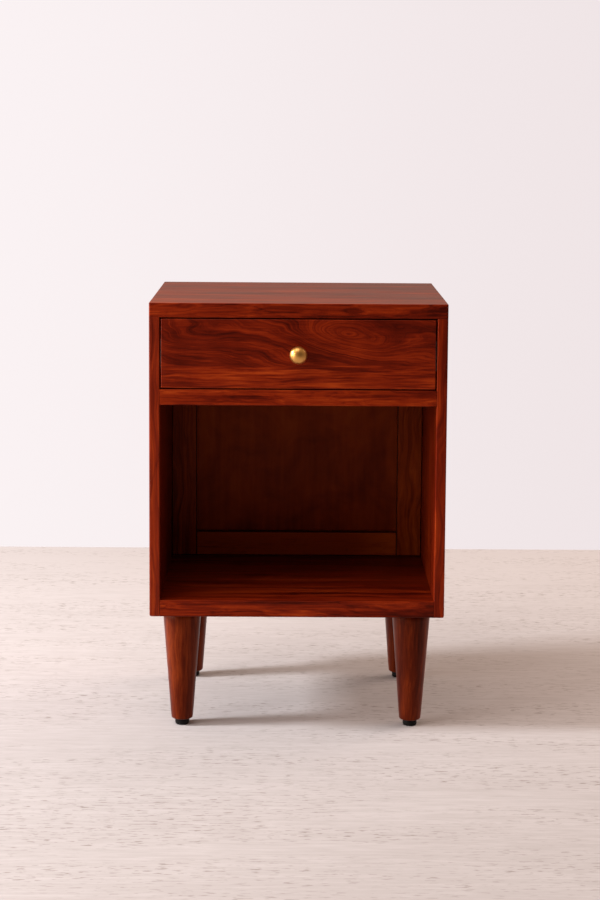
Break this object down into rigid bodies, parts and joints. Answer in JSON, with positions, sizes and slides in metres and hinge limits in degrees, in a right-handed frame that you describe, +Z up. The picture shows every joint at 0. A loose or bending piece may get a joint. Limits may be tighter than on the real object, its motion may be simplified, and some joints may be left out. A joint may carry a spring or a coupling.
{
  "type": "nightstand",
  "caption": "Nightstand on round tapered legs: an inset drawer on telescopic slides above an open cubby with a framed back, and screw-in levelling glides.",
  "frame": {"origin": "on the floor under the middle of the whole outline, knob included", "axes": "+Z up; -Y is the front, with the drawer and cubby; +X is to the right as seen from the front"},
  "size_m": [0.45, 0.405, 0.666],
  "materials": {
    "lacquered_case": "satin lacquer, dark red-brown, straight grain",
    "lacquered_top": "satin lacquer, red-brown, grain from side to side",
    "lacquered_leg": "satin lacquer, red-brown, grain along the leg",
    "figured_front": "satin lacquer, strongly figured with dark streaks",
    "stained_plywood": "stained to match, semi-matt",
    "drawer_box_wood": "clear sealed, semi-matt",
    "drawer_plywood": "clear sealed, matt",
    "dowel_wood": "raw beech, smooth",
    "satin_brass": "satin, lacquered",
    "insert_brass": "machined",
    "zinc_steel": "bright zinc plated",
    "slide_steel": "rolled, zinc plated",
    "cage_steel": "pressed steel with bearing balls",
    "black_plastic": "moulded, fine texture"
  },
  "bodies": {
    "case": {"top_panel": "lacquered_top", "left_side": "lacquered_case", "right_side": "lacquered_case", "divider_panel": "lacquered_case", "bottom_panel": "lacquered_case", "back_left_stile": "lacquered_case", "back_right_stile": "lacquered_case", "back_top_rail": "lacquered_case", "back_bottom_rail": "lacquered_case", "back_panel": "stained_plywood", "back_panel_screws": "zinc_steel", "case_dowels": "dowel_wood", "front_left_leg": "lacquered_leg", "front_right_leg": "lacquered_leg", "back_left_leg": "lacquered_leg", "back_right_leg": "lacquered_leg", "leg_bolts": "zinc_steel", "bottom_inserts": "insert_brass", "foot_sleeves": "insert_brass", "left_slide_outer": "slide_steel", "right_slide_outer": "slide_steel", "slide_case_screws": "zinc_steel"},
    "drawer": {"drawer_front": "figured_front", "drawer_left_side": "drawer_box_wood", "drawer_right_side": "drawer_box_wood", "drawer_back": "drawer_box_wood", "drawer_bottom": "drawer_plywood", "drawer_dowels": "dowel_wood", "drawer_bottom_screws": "zinc_steel", "knob": "satin_brass", "knob_screw": "zinc_steel", "left_slide_inner": "slide_steel", "right_slide_inner": "slide_steel", "slide_drawer_screws": "zinc_steel"},
    "left_middle_member": {"left_slide_middle": "slide_steel"},
    "left_outer_cage": {"left_cage_outer": "cage_steel"},
    "left_inner_cage": {"left_cage_inner": "cage_steel"},
    "right_middle_member": {"right_slide_middle": "slide_steel"},
    "right_outer_cage": {"right_cage_outer": "cage_steel"},
    "right_inner_cage": {"right_cage_inner": "cage_steel"},
    "front_left_leveller": {"front_left_glide": "black_plastic", "front_left_glide_stem": "zinc_steel"},
    "front_right_leveller": {"front_right_glide": "black_plastic", "front_right_glide_stem": "zinc_steel"},
    "back_left_leveller": {"back_left_glide": "black_plastic", "back_left_glide_stem": "zinc_steel"},
    "back_right_leveller": {"back_right_glide": "black_plastic", "back_right_glide_stem": "zinc_steel"}
  },
  "joints": [
    {"name": "drawer_slide", "type": "slide", "parent": "case", "child": "drawer", "axis": [0, -1, 0], "range_m": [0, 0.28]},
    {"name": "left_middle_member_slide", "type": "slide", "parent": "case", "child": "left_middle_member", "axis": [0, -1, 0], "range_m": [0, 0.14]},
    {"name": "left_outer_cage_slide", "type": "slide", "parent": "case", "child": "left_outer_cage", "axis": [0, -1, 0], "range_m": [0, 0.07]},
    {"name": "left_inner_cage_slide", "type": "slide", "parent": "case", "child": "left_inner_cage", "axis": [0, -1, 0], "range_m": [0, 0.21]},
    {"name": "right_middle_member_slide", "type": "slide", "parent": "case", "child": "right_middle_member", "axis": [0, -1, 0], "range_m": [0, 0.14]},
    {"name": "right_outer_cage_slide", "type": "slide", "parent": "case", "child": "right_outer_cage", "axis": [0, -1, 0], "range_m": [0, 0.07]},
    {"name": "right_inner_cage_slide", "type": "slide", "parent": "case", "child": "right_inner_cage", "axis": [0, -1, 0], "range_m": [0, 0.21]},
    {"name": "front_left_leveller_screw", "type": "slide", "parent": "case", "child": "front_left_leveller", "axis": [0, 0, -1], "range_m": [0, 0.008]},
    {"name": "front_right_leveller_screw", "type": "slide", "parent": "case", "child": "front_right_leveller", "axis": [0, 0, -1], "range_m": [0, 0.008]},
    {"name": "back_left_leveller_screw", "type": "slide", "parent": "case", "child": "back_left_leveller", "axis": [0, 0, -1], "range_m": [0, 0.008]},
    {"name": "back_right_leveller_screw", "type": "slide", "parent": "case", "child": "back_right_leveller", "axis": [0, 0, -1], "range_m": [0, 0.008]}
  ],
  "couplings": [
    {"joint": "left_middle_member_slide", "follows": "drawer_slide", "ratio": 0.5},
    {"joint": "left_outer_cage_slide", "follows": "drawer_slide", "ratio": 0.25},
    {"joint": "left_inner_cage_slide", "follows": "drawer_slide", "ratio": 0.75},
    {"joint": "right_middle_member_slide", "follows": "drawer_slide", "ratio": 0.5},
    {"joint": "right_outer_cage_slide", "follows": "drawer_slide", "ratio": 0.25},
    {"joint": "right_inner_cage_slide", "follows": "drawer_slide", "ratio": 0.75}
  ]
}
